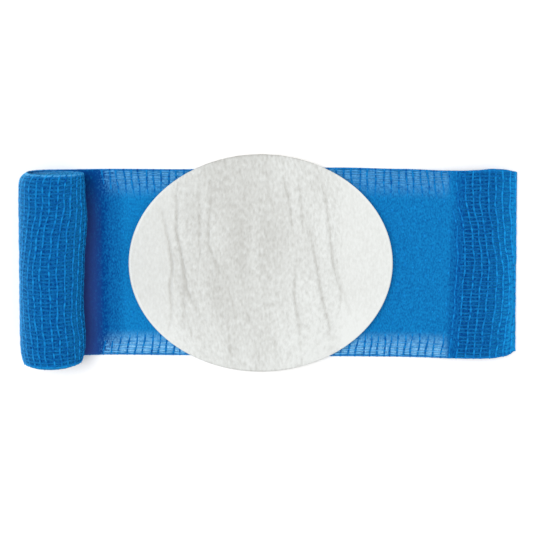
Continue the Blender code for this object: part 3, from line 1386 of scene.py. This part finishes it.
@dataclass
class PadSizes:
    """Sizes of the oval pad that the frame doesn't give."""

    face_steps: int = 190
    face_drop: float = 0.14 * MM
    face_overlap: float = 0.2 * MM
    rim_start: float = 0.990
    rim_tone_start: float = 0.982
    # Painted highlight on the cut edge at the pad's ends, and painted shade along its near and far
    # rims.
    rim_end_highlight: float = 0.60
    rim_side_shade: float = -0.22
    far_trim: float = 0.45 * MM
    right_trim: float = 0.34 * MM

    # Both tables' rows are for layered() over the places from the pad's middle, leant.
    # The second is painted shade of broad soft folds, which the face's shape doesn't have.
    crepe: tuple = ((1.0, 0.58 * MM, 1.45 * MM, 11.0), (0.6, 0.29 * MM, 0.87 * MM, 23.0))
    painted_fold_shade: tuple = ((0.26, 3.4 * MM, 15.0 * MM, 31.0),)
    crepe_height: float = 0.22 * MM
    # Painted shade that follows the crinkle: darker in its hollows, paler on its tops.
    crepe_painted_shade: float = 0.42
    crepe_lean: float = 0.16
    crepe_left: float = -0.72
    crepe_right: float = 0.66
    crepe_fade: float = 0.10
    smooth_relief: float = 0.12
    smooth_grain: float = 0.10
    # Painted shade in the creases: the depth that darkens the cover's tone by one.
    crease_shade_depth: float = 0.42 * MM
    near_tone: float = 0.32
    near_start: float = 0.2
    near_run: float = 0.7
    wadding_rings: int = 10
    wadding_sides: int = 160
    wadding_levels: int = 6
    ring_width: float = 0.02
    ring_growth: float = 0.008
    wadding_inset: float = 0.05 * MM
    wadding_rise: float = 0.15 * MM
    round_start: float = 0.97
    round_drop: float = 0.35 * MM
    ragged_start: float = 0.98
    ragged_depth: float = 0.0035
    ragged: tuple = ((1.0, 1 / 30, 1 / 4, 5.0),)
    fill: float = 0.5

    # Rows are (place as a share of the half length, tone of the cover): painted light and
    # shade, darkest just left of the middle and brightest at the right end.
    face_tones: tuple = (
        (-1.00, 0.66),
        (-0.72, 0.64),
        (-0.50, 0.52),
        (-0.25, 0.37),
        (0.00, 0.40),
        (0.30, 0.68),
        (0.60, 0.80),
        (1.00, 0.86),
    )


class EyePad:
    """The oval pad: an absorbent layer under a creased white cover."""

    def __init__(self, shelf: GroupShelf) -> None:
        """Read the pad's place from the frame.

        Args:
            shelf: the shared node groups.
        """
        self.sizes = PadSizes()
        self.face_low, self.face_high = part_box("pad_face")
        self.core_low, self.core_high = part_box("pad_core")
        trim = Vector((self.sizes.right_trim, self.sizes.far_trim, 0.0))
        self.centre = (self.face_low + self.face_high - trim) / 2
        self.half_x = (self.face_high.x - self.face_low.x - trim.x) / 2
        self.half_y = (self.face_high.y - self.face_low.y - trim.y) / 2
        self.cover_finish = COVER_WHITE.make(shelf)
        self.wadding_finish = WADDING_CREAM.make(shelf)

    def crease_relief(self, x: np.ndarray, y: np.ndarray) -> tuple[np.ndarray, np.ndarray]:
        """Work out how far the creases move the face down or up.

        Args:
            x: places in metres from the pad's middle.
            y: the same, across.

        Returns:
            Heights to add, mostly below 0, and how deep the creases alone are.
        """
        relief, hollow = np.zeros(x.size), np.zeros(x.size)
        for crease in CREASES:
            line = np.array(crease.points) * (self.half_x, self.half_y)
            best = np.full(x.size, np.inf)
            side, way = np.zeros(x.size), np.zeros(x.size)
            lengths = np.hypot(*np.diff(line, axis=0).T)
            total, done = lengths.sum(), 0.0
            for start, end, length in zip(line, line[1:], lengths):
                step = (end - start) / length
                share = np.clip((x - start[0]) * step[0] + (y - start[1]) * step[1], 0, length)
                dx, dy = x - start[0] - step[0] * share, y - start[1] - step[1] * share
                away = np.hypot(dx, dy)
                nearer = away < best
                best = np.where(nearer, away, best)
                side = np.where(nearer, np.sign(dx * step[1] - dy * step[0]), side)
                way = np.where(nearer, (done + share) / total, way)
                done += length
            fade = np.sqrt(np.clip(np.sin(math.pi * way), 0, 1))
            widths = best / crease.half_width
            valley = np.exp(-(widths ** 2))
            bank = np.exp(-(((widths - crease.bank_place) / crease.bank_width) ** 2))
            bank *= np.where(side < 0, crease.right_bank, crease.left_bank)
            relief += crease.depth * fade * (bank - valley)
            hollow += crease.depth * fade * valley
        return relief, hollow

    def crepe_share(self, share: np.ndarray) -> np.ndarray:
        """Return how crinkled the cover is.

        Args:
            share: places as shares of its half length.

        Returns:
            Shares from 0, smooth, to 1, crinkled.
        """
        sizes = self.sizes
        where = smooth((share - sizes.crepe_left) / sizes.crepe_fade)
        return where * smooth((sizes.crepe_right - share) / sizes.crepe_fade)

    def crepe_relief(self, x: np.ndarray, y: np.ndarray) -> np.ndarray:
        """Work out the fine crinkle of the cover's middle.

        Args:
            x: places in metres from the pad's middle.
            y: the same, across.

        Returns:
            Shares of the crinkle's height, from about -1 to 1.
        """
        sizes = self.sizes
        fine = layered(sizes.crepe, x + sizes.crepe_lean * y, y)
        crinkled = self.crepe_share(x / self.half_x)
        return fine * (sizes.smooth_relief + (1 - sizes.smooth_relief) * crinkled)

    def make_cover(self) -> bpy.types.Object:
        """Make the creased cover as one closed oval sheet.

        Returns:
            The piece.
        """
        sizes = self.sizes
        steps = sizes.face_steps
        shape = bmesh.new()
        bmesh.ops.create_grid(shape, x_segments=steps, y_segments=steps, size=1.0)
        top = points_made(bmesh.ops.extrude_face_region(shape, geom=shape.faces[:]))
        bmesh.ops.translate(shape, verts=top, vec=(0.0, 0.0, 1.0))
        bmesh.ops.recalc_face_normals(shape, faces=shape.faces[:])
        # The operator lists its new faces in any order, so all are sorted by height, x and y.
        order = Vector((1e3, 1.0, 1e6))
        shape.verts.sort(key=lambda point: order.dot(point.co))
        shape.faces.sort(key=lambda face: order.dot(face.calc_center_median()))
        mesh = mesh_of(shape)
        grid = get_points(mesh)
        share_x = grid[:, 0] * np.sqrt(1 - grid[:, 1] ** 2 / 2)
        share_y = grid[:, 1] * np.sqrt(1 - grid[:, 0] ** 2 / 2)
        x, y = share_x * self.half_x, share_y * self.half_y
        out = np.hypot(share_x, share_y)
        rim = smooth((out - sizes.rim_start) / (1 - sizes.rim_start))
        creased, hollow = self.crease_relief(x, y)
        crepe = self.crepe_relief(x, y)
        relief = (creased + sizes.crepe_height * crepe) * (1 - rim)
        is_top = grid[:, 2] > 0.5
        high = self.face_high.z - sizes.face_drop * rim ** 2 + relief
        z = np.where(is_top, high, self.face_low.z - sizes.face_overlap)
        set_points(mesh, np.column_stack([self.centre.x + x, self.centre.y + y, z]))
        # Painted light and shade across the pad, and painted shade in the creases' valleys.
        tone = eased(sizes.face_tones, share_x, 1) - hollow / sizes.crease_shade_depth
        crinkled = self.crepe_share(share_x)
        # Painted shade of broad soft folds.
        tone += layered(sizes.painted_fold_shade, x + sizes.crepe_lean * y, y) * crinkled
        tone += sizes.near_tone * smooth((-share_y - sizes.near_start) / sizes.near_run)
        # Painted shade that follows the crinkle.
        tone += sizes.crepe_painted_shade * crepe
        # Painted highlight at the pad's ends and painted shade at its near and far rims.
        edge = sizes.rim_end_highlight * share_x ** 2 + sizes.rim_side_shade * share_y ** 2
        store(mesh, "tone", tone + np.where(out > sizes.rim_tone_start, edge, 0.0))
        store(mesh, "grain", sizes.smooth_grain + (1 - sizes.smooth_grain) * crinkled)
        piece = add_piece("pad_cover", mesh, self.cover_finish)
        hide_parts("pad_face")
        return piece

    def make_wadding(self) -> bpy.types.Object:
        """Make the absorbent layer as a soft closed oval with a cut edge.

        Returns:
            The piece.
        """
        sizes = self.sizes
        shape = bmesh.new()
        bmesh.ops.create_cone(
            shape, cap_ends=True, segments=sizes.wadding_sides, radius1=1.0, radius2=1.0, depth=1.0
        )
        caps = [face for face in shape.faces if len(face.verts) > 4]
        bmesh.ops.subdivide_edges(shape, edges=edges_along(shape), cuts=sizes.wadding_levels - 1)
        for cap in caps:
            for ring in range(sizes.wadding_rings):
                wide = sizes.ring_width + sizes.ring_growth * ring
                bmesh.ops.inset_region(shape, faces=[cap], thickness=wide, use_even_offset=True)
        bmesh.ops.recalc_face_normals(shape, faces=shape.faces[:])
        mesh = mesh_of(shape)
        points = get_points(mesh)
        out = np.hypot(points[:, 0], points[:, 1])
        level = points[:, 2] + 0.5
        angle = np.arctan2(points[:, 1], points[:, 0])
        ragged = (1 + layered(sizes.ragged, angle, level)) * (out > sizes.ragged_start)
        ragged = 1 - sizes.ragged_depth * ragged
        low, high = self.core_low.z, self.core_high.z + sizes.wadding_rise
        rounded = smooth((out - sizes.round_start) / (1 - sizes.round_start)) * sizes.round_drop
        rounded *= np.isclose(level, 0.0, atol=1e-4) * 1.0 - np.isclose(level, 1.0, atol=1e-4)
        z = low + (high - low) * level + rounded
        x = self.centre.x + points[:, 0] * ragged * (self.half_x - sizes.wadding_inset)
        y = self.centre.y + points[:, 1] * ragged * (self.half_y - sizes.wadding_inset)
        set_points(mesh, np.column_stack([x, y, z]))
        store(mesh, "tone", np.full(out.size, 0.5))
        piece = add_piece("pad_wadding", mesh, self.wadding_finish)
        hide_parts("pad_core")
        return piece

    def build(self) -> None:
        """Make the pad's two pieces."""
        self.make_wadding()
        self.make_cover()


@dataclass(frozen=True)
class SoftLight:
    """One soft area light of the studio."""

    name: str
    place: tuple[float, float, float]
    size: float
    power: float
    colour: tuple[float, float, float] = (1.0, 1.0, 1.0)


class Studio:
    """The pale floor, the soft lights and the camera."""

    lights = (
        SoftLight("key_light", (-0.20, 0.22, 1.15), 0.60, 10.2),
        SoftLight("fill_light", (0.35, -0.10, 1.00), 0.60, 1.2),
    )
    sky = 0.46
    floor_albedo = 0.890
    floor_glow = 0.06
    floor_half_width = 1.2
    aim = (-1.05 * MM, 24.99 * MM, 0.0)
    reach = 277.4 * MM
    lean = math.radians(4.65)
    focal_px = 1050.0
    picture_px = 533.0
    shift_px = -100.0
    sensor_width = 36.0
    nearest = 0.01
    farthest = 10.0

    def make_floor(self) -> None:
        """Lay a plain white floor."""
        shape = bmesh.new()
        bmesh.ops.create_grid(shape, x_segments=8, y_segments=8, size=self.floor_half_width)
        mesh = mesh_of(shape)
        material = bpy.data.materials.new("white_floor")
        material.use_nodes = True
        shader = material.node_tree.nodes["Principled BSDF"]
        pale = (self.floor_albedo, self.floor_albedo, self.floor_albedo, 1.0)
        shader.inputs["Base Color"].default_value = pale
        shader.inputs["Roughness"].default_value = 1.0
        shader.inputs["Specular IOR Level"].default_value = 0.0
        shader.inputs["Emission Color"].default_value = (1.0, 1.0, 1.0, 1.0)
        shader.inputs["Emission Strength"].default_value = self.floor_glow
        mesh.materials.append(material)
        floor = bpy.data.objects.new("floor", mesh)
        bpy.context.scene.collection.objects.link(floor)

    def make_lights(self) -> None:
        """Hang the soft lights and light the surroundings evenly."""
        for light in self.lights:
            data = bpy.data.lights.new(light.name, "AREA")
            data.shape = "DISK"
            data.size = light.size
            data.energy = light.power
            data.color = light.colour
            lamp = bpy.data.objects.new(light.name, data)
            lamp.location = light.place
            lamp.rotation_euler = (-Vector(light.place)).to_track_quat("-Z", "Y").to_euler()
            bpy.context.scene.collection.objects.link(lamp)
        world = bpy.data.worlds.new("studio")
        world.use_nodes = True
        background = world.node_tree.nodes["Background"]
        background.inputs["Color"].default_value = (1.0, 1.0, 1.0, 1.0)
        background.inputs["Strength"].default_value = self.sky
        bpy.context.scene.world = world

    def make_camera(self) -> None:
        """Set the camera over the object, leaning a little to its far side."""
        data = bpy.data.cameras.new("camera")
        data.sensor_width = self.sensor_width
        data.lens = data.sensor_width * self.focal_px / self.picture_px
        data.shift_y = self.shift_px / self.picture_px
        data.clip_start = self.nearest
        data.clip_end = self.farthest
        camera = bpy.data.objects.new("camera", data)
        back = Vector((0.0, math.sin(self.lean), math.cos(self.lean)))
        right = Vector((1.0, 0.0, 0.0))
        up = back.cross(right)
        turn = Matrix((right, up, back)).transposed().to_4x4()
        camera.matrix_world = Matrix.Translation(Vector(self.aim) + back * self.reach) @ turn
        bpy.context.scene.collection.objects.link(camera)
        bpy.context.scene.camera = camera

    def build(self) -> None:
        """Make the floor, the lights and the camera."""
        self.make_floor()
        self.make_lights()
        self.make_camera()
        bpy.context.scene.view_settings.view_transform = "Standard"


def main() -> None:
    """Build the band, the pad and the studio."""
    logging.basicConfig(level=logging.INFO, format="%(name)s: %(message)s")
    low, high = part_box("bandage")
    shelf = GroupShelf()
    WovenBand(BandPath(left=low.x, right=high.x), shelf).build()
    EyePad(shelf).build()
    Studio().build()


if __name__ == "__main__":
    main()
